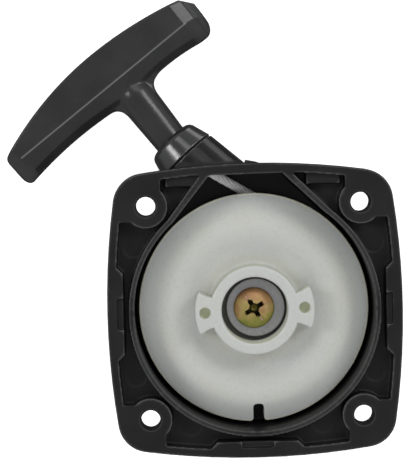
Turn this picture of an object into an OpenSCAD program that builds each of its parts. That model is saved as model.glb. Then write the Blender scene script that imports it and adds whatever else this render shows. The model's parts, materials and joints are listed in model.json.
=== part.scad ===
// Recoil starter of a small two-stroke engine, lying on its back with the engine side up.
// Origin: centre of the four mounting holes, on the flange face. +Z points out of the open side.
// Units are millimetres.

/* [Housing] */
// Half of the flange width, at the middle of a side
half_w = 44.2; // [43.5:0.1:46]
// Radius of the long bulged sides of the flange
side_r = 230; // [200:10:400]
// Radius of the flange corners
corner_r = 9.3; // [9:0.1:11]
// Depth of the flange, from its face to its underside
flange_t = 6.5; // [5.5:0.5:8]
// Floor thickness under the flange pockets
pocket_floor = 2; // [1.5:0.5:3]
// Width of the flat rim band round the pockets
band = 2.6; // [2.2:0.1:3]
// Overall depth from the flange face to the flat back
depth = 30.5; // [30:0.5:34]
// Wall thickness of the drum
wall = 2.4; // [2:0.2:3]

/* [Mounting holes] */
// Distance between neighbouring hole centres
hole_pitch = 64; // [63:0.5:65]
// Diameter of the clearance holes
hole_d = 5.8; // [5.2:0.1:6.4]
// Radius of the boss round each hole
boss_r = 6.5; // [6:0.1:7]

/* [Pulley chamber] */
// Inner radius of the ring wall round the pulley
ring_r = 36.2; // [36:0.1:36.6]
// Thickness of the ring wall where it stands in the pockets
ring_t = 1.6; // [1.4:0.1:2]
// Radius of the spring chamber in the back
spring_r = 29; // [28.5:0.5:30]

/* [Pulley] */
// Radius of the pulley's engine-side flange
pulley_r = 34.9; // [34:0.1:35]
// Depth of the crown of the pulley face below the flange face
face_z = 8.6; // [8:0.1:9]
// Width of the rope groove
groove_w = 5.3; // [4.6:0.1:5.4]
// Radius of the barrel that the rope winds on
barrel_r = 20; // [19:0.5:21]
// Outer radius of the raised hub ring
hub_r = 13.45; // [13:0.05:14]
// Bore radius of the raised hub ring
hub_bore_r = 10; // [9.8:0.1:10.2]
// Outer radius of the two drive lugs
lug_r = 18; // [17:0.5:19]
// Radius of the centre post that the pulley turns on
post_r = 6; // [5.5:0.1:6.5]
// Radial running clearance between the post and the pulley
run_gap = 0.05; // [0.02:0.01:0.1]

/* [Rope] */
// Rope diameter
rope_d = 3; // [2.8:0.1:3]
// Radius of the rope centreline where it leaves the pulley
lay_r = 29; // [28.5:0.1:30]
// Direction in which the rope leaves the pulley, from +X
lay_a = 148.7; // [148:0.1:150]
// Depth of the rope centreline below the flange face
rope_z = 14.6; // [14.4:0.1:14.8]

/* [Rope tower] */
// Direction of the tower, from +X
tower_a = 133; // [132:1:134]
// Slope of the tower away from the flange face
tower_tilt = 7.5; // [6:0.5:8]
// Radius of the tower at its outer end
tower_r = 9.8; // [9.5:0.1:10]
// Length of the rope guide's collar
collar_l = 7.5; // [7.3:0.1:8]

/* [Handle] */
// Direction of the handle's stem, from +X
handle_a = 127.3; // [127:0.1:128]
// Distance from the stem's end to the underside of the bar
stem_l = 19.1; // [18.5:0.1:21]
// Radius of the stem at its end in the collar
stem_r = 5.2; // [5:0.05:5.3]
// Length of the long arm of the bar
arm_long = 42.9; // [41:0.1:44]
// Length of the short arm of the bar
arm_short = 31.2; // [30:0.1:33]
// Height of the bar's crown above its underside
bar_h = 17.4; // [16.5:0.1:18]
// Thickness of the bar
bar_t = 13; // [12.5:0.5:14]

/* [Hidden] */
$fn = 64;

black = "#2f2f30";
nylon = "#cfd0c8";
zinc = "#8a8b8c";
gold = "#b88a48";
grey_rope = "#b9b9b9";

// Flange outline
corner_p = (sqrt(2 * pow(side_r - corner_r, 2) - pow(side_r - half_w, 2)) - side_r + half_w) / 2;
side_a = atan2(corner_p, corner_p + side_r - half_w);
hole_p = hole_pitch / 2;
chamfer_r = hole_d / 2 + 0.5;
pocket_z = flange_t - pocket_floor;
boss_cut = 4.5;
mid_in = half_w - 4.9;
mid_len = 12.2;

// Pulley levels, below the flange face
rim_z = face_z + 1.8;
groove_top = rope_z - groove_w / 2;
groove_low = rope_z + groove_w / 2;
low_flange = groove_low + 1.6;
hub_top = 2.2;
seat_z = 12.6;
post_top = seat_z - 0.2;
washer_t = 1.4;
washer_r = 9.15;
washer_x = 0.35;
screw_seat = post_top - washer_t;
insert_l = 10.9;
insert_r = 4;
thread_r = 2.9;
shank_l = 10.5;
spring_hub_r = 9;
lug_hole_at = 15;
lug_hole_r = 1.65;
lug_hole_l = 2.4;
lug_turn = 2;
notch_r = 1.7;
notch_l = 3.9;
notch_turn = 1.4;

// Depths of the chambers
chamber_z = low_flange + 0.75;
spring_z = depth - wall;
chamber_step = chamber_z + wall;
drum_r = ring_r + wall;
spring_out_r = spring_r + wall;
spring_hub_z = spring_z - 0.5;

// Rope geometry
rope_r = rope_d / 2;
knot_r = 2.6;
knot_a = -150;
knot_at = barrel_r - 2.6;
tangent_a = lay_a - 90;
lay_from = [lay_r * cos(tangent_a), lay_r * sin(tangent_a)];
tower_at = [-19.05, 45.85, 0.6 - rope_z];
stem_in = 6;
stem_at = [
  tower_at[0] + stem_in * cos(tower_tilt) * cos(tower_a),
  tower_at[1] + stem_in * cos(tower_tilt) * sin(tower_a),
  -rope_z
];

// Spring strip
strip_t = 0.45;
strip_w = 7.2;
spring_turns = 7.5;
spring_in_r = spring_hub_r + 0.9;
spring_last_r = spring_r - 0.7;
spring_low = spring_z - 0.4;

// Small fin under the flange edge beside the tower
fin = [[-0.6, 42.5], [-1, 43.3], [-2.2, 44.9], [-1.6, 45.1], [1.7, 44.4], [3.6, 43.4], [3.6, 42.5]];

// Openings of the flange round the rope, as a flared mouth in the ring wall
mouth = [[-26.2, 24.4], [-12.9, 40.9], [8.8, 41.2], [24.5, 26.3]];
mouth_wall = [[-27.4, 25.4], [-14.6, 42.5], [10.3, 42.6], [25.6, 27.5]];

function turn(p, a) = [p[0] * cos(a) - p[1] * sin(a), p[0] * sin(a) + p[1] * cos(a)];
function arc(c, r, a0, a1, n) =
  [for (i = [0:n]) let (a = a0 + (a1 - a0) * i / n) [c[0] + r * cos(a), c[1] + r * sin(a)]];

// One quarter of the flange outline: a bulged side, then the inner points of a corner
function quarter(inset) = concat(
  arc([half_w - side_r, 0], side_r - inset, -side_a, side_a, 10),
  [for (i = [1:7]) let (a = side_a + (90 - 2 * side_a) * i / 8)
    [corner_p + (corner_r - inset) * cos(a), corner_p + (corner_r - inset) * sin(a)]]
);
function outline(inset) = [for (k = [0:3]) for (p = quarter(inset)) turn(p, 90 * k)];

// A spiral strip of constant thickness between two radii
function spiral_side(off) = [
  for (i = [0:spring_turns * 24])
    let (a = i * 15, r = spring_in_r + (spring_last_r - spring_in_r) * i / (spring_turns * 24))
      [(r + off) * cos(a), (r + off) * sin(a)]
];
function backwards(v) = [for (i = [len(v) - 1:-1:0]) v[i]];

// The bar of the handle: u runs along it from the stem's axis, v up from its underside
ridge_v = 6.6;
crown_u = -2;
function crown_v(u) = bar_h - (u < crown_u ? 0.0051 : 0.0039) * pow(u - crown_u, 2);
function under_v(u) = u < 0 ? 0.55 - 0.0042 * pow(u + 19, 2) : 0.9 - 0.0079 * pow(u - 14, 2);
bar_outline = concat(
  [for (u = [4 - arm_long:4:arm_short - 5]) [u, under_v(u)]],
  [[arm_short - 2, 0.3], [arm_short - 0.6, 2.8], [arm_short, 6], [arm_short - 0.4, 10.9]],
  [for (u = [arm_short - 3:-4:3 - arm_long]) [u, crown_v(u)]],
  [[0.8 - arm_long, 9.1], [0.2 - arm_long, 8], [-arm_long, 5.6]],
  [[0.2 - arm_long, 3], [1.4 - arm_long, 0.1], [2.6 - arm_long, -0.8]]
);
bar_section = [
  [-1.5, 1.2], [1, 1.2], [3.2, 4.2], [ridge_v, bar_t / 2], [18, bar_t / 2],
  [18, -bar_t / 2], [ridge_v, -bar_t / 2], [3.2, -4.2], [1, -1.2], [-1.5, -1.2]
];

module boss_area() {
  for (k = [0:3]) rotate(90 * k) translate([hole_p, hole_p]) {
    circle(boss_r);
    translate([-boss_cut, 0]) square([20, 20]);
    translate([0, -boss_cut]) square([20, 20]);
  }
}

module pocket_area() {
  difference() {
    polygon(outline(band));
    circle(ring_r + ring_t);
    boss_area();
    polygon(mouth_wall);
    for (k = [0, 2, 3]) rotate(90 * k)
      polygon([[mid_in, -mid_len], [mid_in + 3, -mid_len - 3], [50, -mid_len - 3],
               [50, mid_len + 3], [mid_in + 3, mid_len + 3], [mid_in, mid_len]]);
  }
}

module cavity_area() {
  circle(ring_r);
  polygon(mouth);
}

// Local Z runs out along a line that leaves point p in direction a, sloping down by tilt
module along(p, a, tilt) {
  translate(p) rotate([0, 90 + tilt, a]) children();
}

module tower_body() {
  along(tower_at, tower_a, tower_tilt)
    translate([0, 0, -17]) cylinder(h = 17, r1 = tower_r + 2, r2 = tower_r);
}

module tower_bore() {
  along(tower_at, tower_a, tower_tilt) {
    translate([0, 0, -19]) cylinder(h = 12.6, r1 = 8.2, r2 = 4.7);
    translate([0, 0, -6.5]) cylinder(h = 7, r = 5.52);
  }
}

module drum_body() {
  rotate_extrude($fn = 96) polygon([
    [0, -flange_t + 1], [drum_r, -flange_t + 1], [drum_r, -chamber_step + 1.5],
    [drum_r - 1.5, -chamber_step], [spring_out_r, -chamber_step],
    [spring_out_r, -depth + 1.5], [spring_out_r - 1.5, -depth], [0, -depth]
  ]);
}

module back_ribs() {
  for (k = [0:11]) rotate(30 * k + 15)
    translate([spring_out_r - 1, 0, 0]) rotate([90, 0, 0]) translate([0, 0, -0.9])
      linear_extrude(1.8) polygon([[0, -chamber_step + 1], [drum_r - spring_out_r - 1, -chamber_step + 1],
                                   [drum_r - spring_out_r - 1, -chamber_step - 0.8], [0, -depth + 2.2]]);
}

module housing() {
  color(black) difference() {
    union() {
      difference() {
        union() {
          translate([0, 0, -flange_t]) linear_extrude(flange_t) polygon(outline(0));
          drum_body();
          back_ribs();
          tower_body();
          translate([0, 0, -chamber_step]) linear_extrude(chamber_step - 2) polygon(mouth_wall);
          translate([0, 0, -flange_t - 1.5]) linear_extrude(4) polygon(fin);
        }
        translate([0, 0, -chamber_z]) linear_extrude(chamber_z + 1) cavity_area();
        translate([0, 0, -spring_z]) cylinder(h = spring_z - chamber_z + 1, r = spring_r, $fn = 96);
        translate([0, 0, -pocket_z]) linear_extrude(pocket_z + 1) pocket_area();
        tower_bore();
        translate([-60, -60, 0]) cube([120, 130, 20]);
      }
      translate([0, 0, -spring_z - 0.5]) cylinder(h = spring_z + 0.5 - post_top, r = post_r);
      for (s = [-1, 1]) translate([s * 21 - 5, 37.7, -pocket_z - 0.5]) cube([10, 3.4, pocket_z - 0.9]);
      rotate(8) translate([spring_r - 1, -1.6, -spring_z - 0.5]) cube([1.5, 1.4, 8]);
    }
    translate([0, 0, -post_top - insert_l - 0.1]) cylinder(h = 20, r = insert_r + 0.02);
    for (k = [0:3]) rotate(90 * k) translate([hole_p, hole_p, -flange_t - 1]) {
      cylinder(h = flange_t + 2, d = hole_d);
      translate([0, 0, flange_t + 0.5]) cylinder(h = 0.6, r1 = hole_d / 2, r2 = chamfer_r + 0.1);
    }
    for (k = [0, 2, 3]) rotate(90 * k) translate([mid_in - 1, -4.65, -1.1]) cube([2.8, 9.3, 3]);
    translate([0, 0, -pocket_z - 0.2]) linear_extrude(0.4) intersection() {
      pocket_area();
      for (p = [[36, 19.5], [36, -19.5], [-36, 19.5], [-36, -19.5], [19.7, -34.8], [-19.7, -34.8]])
        translate(p) circle(3.1);
    }
  }
}

module post_insert() {
  color(gold) difference() {
    translate([0, 0, -post_top - insert_l]) cylinder(h = insert_l, r = insert_r);
    translate([0, 0, -post_top - insert_l - 1]) cylinder(h = insert_l + 2, r = thread_r + 0.05);
  }
}

module rope_guide() {
  color(black) along(tower_at, tower_a, tower_tilt) difference() {
    rotate_extrude() polygon(concat(
      [[0, -6.3], [5.5, -6.3], [5.5, 0], [tower_r - 0.7, 0], [tower_r - 0.7, 0.5], [tower_r - 0.1, 0.5]],
      arc([5.9, collar_l - 2.4], 2.4, 8, 90, 8),
      [[0, collar_l]]));
    rotate_extrude() polygon(concat(
      [[0, -7], [4.5, -7], [4.3, -6.3], [3.3, -3.2], [2.75, -0.6], [2.75, 3.4]],
      arc([4.35, 3.4], 1.6, 180, 90, 4),
      [[5.9, 5], [5.9, collar_l + 1], [0, collar_l + 1]]));
  }
}

module recoil_spring() {
  color("#6d6f72") translate([0, 0, -spring_low]) linear_extrude(strip_w)
    polygon(concat(spiral_side(0), backwards(spiral_side(strip_t))));
}

module lug_area() {
  for (k = [0, 180]) rotate(k + lug_turn) polygon(concat(
    [[11, -4.4], [13.2, -4.65], [14.4, -5.1], [15.9, -5.9]],
    arc([0, 0], lug_r, -18.5, 18.5, 8),
    [[15.9, 5.9], [14.4, 5.1], [13.2, 4.65], [11, 4.4]]));
}

module pulley() {
  color(nylon) difference() {
    union() {
      rotate_extrude($fn = 96) polygon([
        [post_r + run_gap, -spring_hub_z], [spring_hub_r, -spring_hub_z],
        [spring_hub_r, -low_flange], [pulley_r - 0.8, -low_flange],
        [pulley_r - 0.4, -low_flange + 0.4], [pulley_r - 0.4, -groove_low - 0.4],
        [pulley_r - 2, -groove_low], [barrel_r, -groove_low], [barrel_r, -groove_top + 0.8],
        [pulley_r - 2, -groove_top], [pulley_r, -groove_top - 0.1], [pulley_r, -rim_z - 0.3],
        [pulley_r - 0.5, -rim_z], [32, -rim_z + 0.5], [29, -face_z - 0.4], [25.5, -face_z],
        [22, -face_z - 0.3], [19, -face_z - 0.8], [16, -face_z - 0.6], [hub_r + 0.5, -face_z - 0.5],
        [hub_r, -face_z + 0.1], [hub_r, -hub_top - 0.6], [hub_r - 0.6, -hub_top],
        [hub_bore_r + 0.6, -hub_top],
        [hub_bore_r, -hub_top - 0.6], [hub_bore_r, -seat_z], [post_r + run_gap, -seat_z]
      ]);
      translate([0, 0, -face_z - 1]) linear_extrude(face_z + 1 - hub_top) difference() {
        lug_area();
        circle(hub_bore_r + 1);
      }
    }
    for (k = [0, 180]) rotate(k + lug_turn)
      translate([lug_hole_at, 0, -hub_top - lug_hole_l]) cylinder(h = 10, r = lug_hole_r);
    translate([0, 0, -low_flange - 1]) linear_extrude(low_flange) rotate(notch_turn) {
      translate([-notch_r, -pulley_r - 2]) square([2 * notch_r, notch_l + 2]);
      translate([0, -pulley_r + notch_l]) circle(notch_r);
    }
    rotate(knot_a) translate([knot_at, 0, -groove_low - 3])
      cylinder(h = groove_w + 2, r = knot_r + 0.5);
    rotate(knot_a) translate([knot_at, 0, -rope_z]) rotate([0, 90, 0]) cylinder(h = 6, r = rope_r + 0.2);
    rotate(20) translate([spring_hub_r - 1.6, -0.6, -spring_hub_z - 1]) cube([3, 1.2, strip_w + 2]);
  }
}

module pulley_washer() {
  color(zinc) translate([washer_x, 0, -post_top]) difference() {
    cylinder(h = washer_t, r = washer_r);
    translate([0, 0, -1]) cylinder(h = washer_t + 2, r = thread_r + washer_x + 0.15);
  }
}

module pulley_screw() {
  head_r = 6.2;
  head_h = 2.9;
  recess_z = head_h - 1.9;
  recess_l = 5.6;
  recess_w = 1.2;
  slot_l = 10.4;
  slot_w = 0.6;
  color(gold) translate([0, 0, -screw_seat]) difference() {
    union() {
      rotate_extrude() polygon(concat(
        [[0, 0], [head_r - 0.2, 0], [head_r, 0.3], [head_r, 0.7]],
        [for (a = [11.25:11.25:78.75]) [head_r * cos(a), 0.7 + (head_h - 0.7) * sin(a)]],
        [[0, head_h]]));
      translate([0, 0, -shank_l]) cylinder(h = shank_l + 0.5, r = thread_r);
    }
    for (k = [0, 90]) rotate(k + 30) translate([-recess_l / 2, -recess_w / 2, recess_z])
      cube([recess_l, recess_w, 3]);
    translate([0, 0, recess_z]) cylinder(h = 3, r = 1.1);
    rotate(-55) translate([-slot_l / 2, -slot_w / 2, head_h - 0.7]) cube([slot_l, slot_w, 2]);
  }
}

module rope_coil() {
  color(grey_rope) {
    translate([0, 0, -rope_z]) rotate_extrude($fn = 96)
      translate([barrel_r + 0.05, -groove_w / 2 + 0.15])
        square([lay_r - rope_r - barrel_r - 0.35, groove_w - 0.3]);
    translate([0, 0, -rope_z]) rotate(tangent_a - 140) rotate_extrude(angle = 136, $fn = 96)
      translate([lay_r - 0.25, 0]) circle(rope_r - 0.05, $fn = 32);
  }
}

module reel_knot() {
  color(grey_rope) rotate(knot_a) translate([knot_at, 0, -rope_z - 0.4]) sphere(knot_r - 0.1);
}

// Centreline of the free rope: straight off the pulley, round the bend in the guide, into the stem
function cross2(a, b) = a[0] * b[1] - a[1] * b[0];
out_dir = [cos(lay_a), sin(lay_a)];
pull_dir = [cos(handle_a), sin(handle_a)];
gap_vec = [stem_at[0] - lay_from[0], stem_at[1] - lay_from[1]];
bend_s = cross2(gap_vec, pull_dir) / cross2(out_dir, pull_dir);
bend_at = [lay_from[0] + out_dir[0] * bend_s, lay_from[1] + out_dir[1] * bend_s];
bend_angle = lay_a - handle_a;
bend_r = 18;
bend_t = bend_r * tan(bend_angle / 2);
bend_from = [bend_at[0] - out_dir[0] * bend_t, bend_at[1] - out_dir[1] * bend_t];
bend_c = [bend_from[0] + bend_r * sin(lay_a), bend_from[1] - bend_r * cos(lay_a)];
rope_path = concat(
  [for (i = [0:3]) let (t = i / 4) [for (k = [0, 1]) lay_from[k] + (bend_from[k] - lay_from[k]) * t]],
  arc(bend_c, bend_r, lay_a + 90, handle_a + 90, 6),
  [[stem_at[0] - 0.3 * pull_dir[0], stem_at[1] - 0.3 * pull_dir[1]]]
);
rope_heading = concat(
  [for (i = [0:3]) lay_a],
  [for (i = [0:6]) lay_a - bend_angle * i / 6],
  [handle_a]
);
rope_sides = 12;

module rope_run() {
  rings = len(rope_path);
  points = [
    for (i = [0:rings - 1]) for (k = [0:rope_sides - 1])
      let (a = 360 * k / rope_sides, h = rope_heading[i])
        [rope_path[i][0] - rope_r * cos(a) * sin(h), rope_path[i][1] + rope_r * cos(a) * cos(h),
         -rope_z + rope_r * sin(a)]
  ];
  sides = [
    for (i = [0:rings - 2]) for (k = [0:rope_sides - 1])
      let (a = i * rope_sides + k, b = i * rope_sides + (k + 1) % rope_sides)
        [a, a + rope_sides, b + rope_sides, b]
  ];
  first = [for (k = [0:rope_sides - 1]) k];
  last = [for (k = [rope_sides - 1:-1:0]) (rings - 1) * rope_sides + k];
  color(grey_rope) polyhedron(points, concat(sides, [first], [last]));
}

// Handle pieces are drawn with local Z out along the stem and local -Y along the short arm
pocket_v = bar_h - 9.5;
cap_r = 5;
cap_t = 1.9;
stem_grow = 0.034;
stem_edge = 0.7;
fillet_r = 3.6;
web_t = 4.8;
knot_ball_r = 3.3;
knot_v = stem_l + pocket_v + knot_ball_r + 0.3;

module on_handle() {
  along(stem_at, handle_a, 0) children();
}

module rope_end() {
  color(grey_rope) on_handle() cylinder(h = stem_l + pocket_v + 0.3, r = rope_r);
}

module handle_knot() {
  color(grey_rope) on_handle() translate([0, 0, knot_v]) sphere(knot_ball_r);
}

module bar_body() {
  intersection() {
    rotate([90, 0, -90]) translate([0, 0, -bar_t / 2 - 1]) linear_extrude(bar_t + 2)
      polygon(bar_outline);
    rotate([90, 0, 0]) translate([0, 0, -50]) linear_extrude(100)
      polygon([for (p = bar_section) [p[1], p[0]]]);
  }
}

// Flat web that fillets the stem into the underside of the bar
module stem_web() {
  top_r = stem_r + stem_grow * stem_l;
  rotate([90, 0, -90]) translate([0, 0, -web_t / 2]) linear_extrude(web_t) polygon(concat(
    [[-top_r - fillet_r, stem_l + 2]],
    arc([-top_r - fillet_r, stem_l - fillet_r + 0.1], fillet_r, 90, 0, 6),
    arc([top_r + fillet_r, stem_l - fillet_r + 0.4], fillet_r, 180, 90, 6),
    [[top_r + fillet_r, stem_l + 2]]));
}

module handle_grip() {
  color(black) on_handle() difference() {
    union() {
      translate([0, 0, stem_l]) bar_body();
      stem_web();
      rotate_extrude() polygon([
        [0, 0], [stem_r - stem_edge, 0], [stem_r, stem_edge], [stem_r + stem_grow * stem_l, stem_l],
        [5, stem_l + 4], [0, stem_l + 4]
      ]);
    }
    translate([0, 0, -1]) cylinder(h = 60, r = rope_r + 0.3);
    translate([0, 0, stem_l + pocket_v]) cylinder(h = 20, r = 4.3);
    translate([0, 0, stem_l + bar_h - cap_t - 0.1]) cylinder(h = 10, r = cap_r + 0.02);
  }
}

module handle_cap() {
  color(black) on_handle() difference() {
    translate([0, 0, stem_l + bar_h - cap_t - 0.05]) cylinder(h = cap_t, r = cap_r);
    translate([0, 0, stem_l + bar_h - cap_t - 0.6]) cylinder(h = 1.5, r = cap_r - 1.4);
  }
}

housing();
post_insert();
rope_guide();
recoil_spring();
pulley();
pulley_washer();
pulley_screw();
rope_coil();
reel_knot();
rope_run();
rope_end();
handle_knot();
handle_grip();
handle_cap();
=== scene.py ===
"""Recoil starter: the looks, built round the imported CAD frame.

Lengths are in mm, and MM turns them into metres. Lamps and bump depths are in metres.
"""

import json
import math

import bmesh
import bpy
import numpy as np
from mathutils import Euler, Matrix, Vector


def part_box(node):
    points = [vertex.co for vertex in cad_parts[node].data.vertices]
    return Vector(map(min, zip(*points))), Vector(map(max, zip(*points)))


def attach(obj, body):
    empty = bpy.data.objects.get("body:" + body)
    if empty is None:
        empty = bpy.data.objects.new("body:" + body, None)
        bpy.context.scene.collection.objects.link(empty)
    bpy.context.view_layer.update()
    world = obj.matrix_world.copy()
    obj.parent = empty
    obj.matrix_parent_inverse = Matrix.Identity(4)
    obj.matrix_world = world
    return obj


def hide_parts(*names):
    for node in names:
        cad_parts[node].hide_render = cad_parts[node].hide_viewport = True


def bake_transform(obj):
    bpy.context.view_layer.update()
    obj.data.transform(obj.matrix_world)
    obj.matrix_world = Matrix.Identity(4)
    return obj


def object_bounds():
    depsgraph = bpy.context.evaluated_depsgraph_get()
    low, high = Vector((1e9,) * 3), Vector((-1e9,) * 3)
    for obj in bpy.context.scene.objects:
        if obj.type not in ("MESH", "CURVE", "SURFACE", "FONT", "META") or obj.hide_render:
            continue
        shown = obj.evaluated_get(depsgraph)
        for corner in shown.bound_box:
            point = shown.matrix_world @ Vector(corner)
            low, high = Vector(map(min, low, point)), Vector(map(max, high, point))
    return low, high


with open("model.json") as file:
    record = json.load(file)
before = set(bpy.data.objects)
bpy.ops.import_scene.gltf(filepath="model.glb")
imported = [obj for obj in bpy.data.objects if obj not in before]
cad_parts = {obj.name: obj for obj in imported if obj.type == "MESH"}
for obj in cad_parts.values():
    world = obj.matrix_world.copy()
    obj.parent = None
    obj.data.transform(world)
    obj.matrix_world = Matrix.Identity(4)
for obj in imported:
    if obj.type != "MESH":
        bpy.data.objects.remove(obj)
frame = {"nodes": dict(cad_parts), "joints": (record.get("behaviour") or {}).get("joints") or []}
cad_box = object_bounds()
MM = 0.001
JOINTS = {j["name"]: j for j in frame["joints"]}


def box_mm(node):
    """Lowest and highest corners of a CAD node, in mm."""
    low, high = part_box(node)
    return Vector(low) / MM, Vector(high) / MM


# Levels and sizes read from the frame, in mm
PULLEY_LOW, PULLEY_HIGH = box_mm("pulley")
PULLEY_R = PULLEY_HIGH.x
HUB_TOP = PULLEY_HIGH.z
HUB_HEIGHT, FACE_CROWN = 6.4, 1.8
FACE_Z = HUB_TOP - HUB_HEIGHT
RIM_Z = FACE_Z - FACE_CROWN
WASHER_LOW, WASHER_HIGH = box_mm("pulley_washer")
SCREW_LOW, SCREW_HIGH = box_mm("pulley_screw")
INSERT_LOW, INSERT_HIGH = box_mm("post_insert")

# ---------------------------------------------------------------- camera and light
CAM_TURN = (math.radians(3.82), math.radians(0.75), math.radians(1.36))
CAM_SHIFT = (15.33 * MM, -23.68 * MM, -548.2 * MM)
CAM_LENS, CAM_SENSOR = 142.5, 36
LAMP_REACH = 1.0
# A bright card in the surroundings, and the cosines between which its edge fades
CARD_TOWARDS = (0.49, 0.83, -0.22)
CARD_EDGE = (0.95, 0.985)
CARD_GLOW = 3.0
FLOOR_SIZE = 20


def make_camera():
    """Camera above the open side. The object turns by CAM_TURN and moves by CAM_SHIFT in its view."""
    turn = Euler(CAM_TURN, "XYZ").to_matrix()
    data = bpy.data.cameras.new("camera")
    data.sensor_width = CAM_SENSOR
    data.lens = CAM_LENS
    data.clip_start = 0.01
    data.clip_end = 20
    cam = bpy.data.objects.new("camera", data)
    bpy.context.scene.collection.objects.link(cam)
    back = turn.transposed()
    cam.matrix_world = Matrix.Translation(back @ -Vector(CAM_SHIFT)) @ back.to_4x4()
    bpy.context.scene.camera = cam


def area_light(name, direction, size, power, shine=True):
    """Soft lamp in that direction from the object's middle, facing it. Without shine it leaves no gloss."""
    centre = (cad_box[0] + cad_box[1]) / 2
    place = centre + Vector(direction).normalized() * LAMP_REACH
    data = bpy.data.lights.new(name, "AREA")
    data.shape = "RECTANGLE"
    data.size, data.size_y = size
    data.energy = power
    lamp = bpy.data.objects.new(name, data)
    lamp.location = place
    lamp.rotation_euler = (centre - place).to_track_quat("-Z", "Y").to_euler()
    lamp.visible_glossy = shine
    bpy.context.scene.collection.objects.link(lamp)


def make_world():
    """Pale surroundings: bright round the horizon, dimmer overhead, dark far below, and one low card."""
    world = bpy.data.worlds.new("world")
    bpy.context.scene.world = world
    world.use_nodes = True
    nodes, links = world.node_tree.nodes, world.node_tree.links
    sky = add(nodes, "ShaderNodeTexCoord").outputs["Generated"]
    split = add(nodes, "ShaderNodeSeparateXYZ")
    links.new(sky, split.inputs["Vector"])
    height = add(nodes, "ShaderNodeMapRange")
    height.inputs["From Min"].default_value = -1
    links.new(split.outputs["Z"], height.inputs["Value"])
    tone = ramp_of(nodes, links, height.outputs["Result"], [
        (0.30, grey(0.10)), (0.50, grey(0.60)), (0.62, (0.55, 0.57, 0.59)), (0.80, grey(0.42)),
        (1.0, grey(0.36))])
    towards = add(nodes, "ShaderNodeVectorMath", operation="DOT_PRODUCT")
    links.new(sky, towards.inputs[0])
    towards.inputs[1].default_value = CARD_TOWARDS
    card = add(nodes, "ShaderNodeMapRange")
    card.inputs["From Min"].default_value = CARD_EDGE[0]
    card.inputs["From Max"].default_value = CARD_EDGE[1]
    links.new(towards.outputs["Value"], card.inputs["Value"])
    tone = mixed(nodes, links, card.outputs["Result"], tone, grey(CARD_GLOW))
    links.new(tone, nodes["Background"].inputs["Color"])
    nodes["Background"].inputs["Strength"].default_value = 1


def make_stage():
    """Pale floor under the flat back, two broad lamps, and two small ones for the round black parts."""
    bpy.context.scene.view_settings.view_transform = "Standard"
    make_world()
    bpy.ops.mesh.primitive_grid_add(
        x_subdivisions=8, y_subdivisions=8, size=FLOOR_SIZE, location=(0, 0, cad_box[0].z))
    floor = bpy.context.object
    floor.name = "floor"
    floor.data.materials.append(plain_floor())
    floor.visible_glossy = False
    floor.visible_diffuse = False
    area_light("lamp_north", (0.05, 0.70, 0.70), (0.7, 0.5), 1.7)
    area_light("lamp_south", (-0.05, -0.58, 0.81), (0.7, 0.5), 2.0, shine=False)
    area_light("lamp_collar", (-0.72, 0.24, 0.63), (0.3, 0.25), 2.2)
    area_light("lamp_stem", (0.609, 0.464, 0.643), (0.3, 0.3), 2.4)


def plain_floor():
    """White sweep lit from below like a light table, so that it stays nearly free of shadows."""
    mat, nodes, links, shader = new_material("floor", (0.6, 0.6, 0.6), 0.7)
    shader.inputs["Emission Color"].default_value = (1, 1, 1, 1)
    shader.inputs["Emission Strength"].default_value = 0.9
    noise = add(nodes, "ShaderNodeTexNoise")
    noise.inputs["Scale"].default_value = 3
    set_bump(nodes, links, shader, noise.outputs["Fac"], 0.02, 0.001)
    return mat


# ---------------------------------------------------------------- material helpers
def new_material(name, colour, roughness, metallic=0.0):
    """Material with its node lists and its Principled shader."""
    mat = bpy.data.materials.new(name)
    mat.use_nodes = True
    nodes, links = mat.node_tree.nodes, mat.node_tree.links
    shader = nodes["Principled BSDF"]
    shader.inputs["Base Color"].default_value = (*colour, 1)
    shader.inputs["Roughness"].default_value = roughness
    shader.inputs["Metallic"].default_value = metallic
    return mat, nodes, links, shader


def add(nodes, kind, **values):
    """New node with some of its settings."""
    node = nodes.new(kind)
    for key, value in values.items():
        setattr(node, key, value)
    return node


def object_coords(nodes):
    """The object's own coordinates, which move with it."""
    return add(nodes, "ShaderNodeTexCoord").outputs["Object"]


def noise_of(nodes, links, coords, scale, detail=3.0, roughness=0.55):
    """Noise of about 0.5, between 0 and 1."""
    noise = add(nodes, "ShaderNodeTexNoise")
    noise.inputs["Scale"].default_value = scale
    noise.inputs["Detail"].default_value = detail
    noise.inputs["Roughness"].default_value = roughness
    links.new(coords, noise.inputs["Vector"])
    return noise.outputs["Fac"]


def ramp_of(nodes, links, value, stops):
    """Colour ramp through the stops, each a place and a colour."""
    ramp = add(nodes, "ShaderNodeValToRGB")
    marks = ramp.color_ramp.elements
    while len(marks) < len(stops):
        marks.new(0.5)
    for mark, (place, colour) in zip(marks, stops):
        mark.position = place
        mark.color = (*colour, 1)
    links.new(value, ramp.inputs["Fac"])
    return ramp.outputs["Color"]


def grey(level):
    return (level, level, level)


def set_bump(nodes, links, shader, height, strength, distance):
    """Bumps the shader's normal by the height."""
    bump = add(nodes, "ShaderNodeBump")
    bump.inputs["Strength"].default_value = strength
    bump.inputs["Distance"].default_value = distance
    links.new(height, bump.inputs["Height"])
    links.new(bump.outputs["Normal"], shader.inputs["Normal"])


def edge_wear_and_highlight(nodes, links):
    """0 on flats, 1 along outer edges, from the mesh's own edge attribute, which holds worn edges and a
    painted highlight along them together.
    """
    edge = add(nodes, "ShaderNodeAttribute", attribute_name="edge")
    return ramp_of(nodes, links, edge.outputs["Fac"], [(0.25, grey(0)), (1.0, grey(1))])


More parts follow.
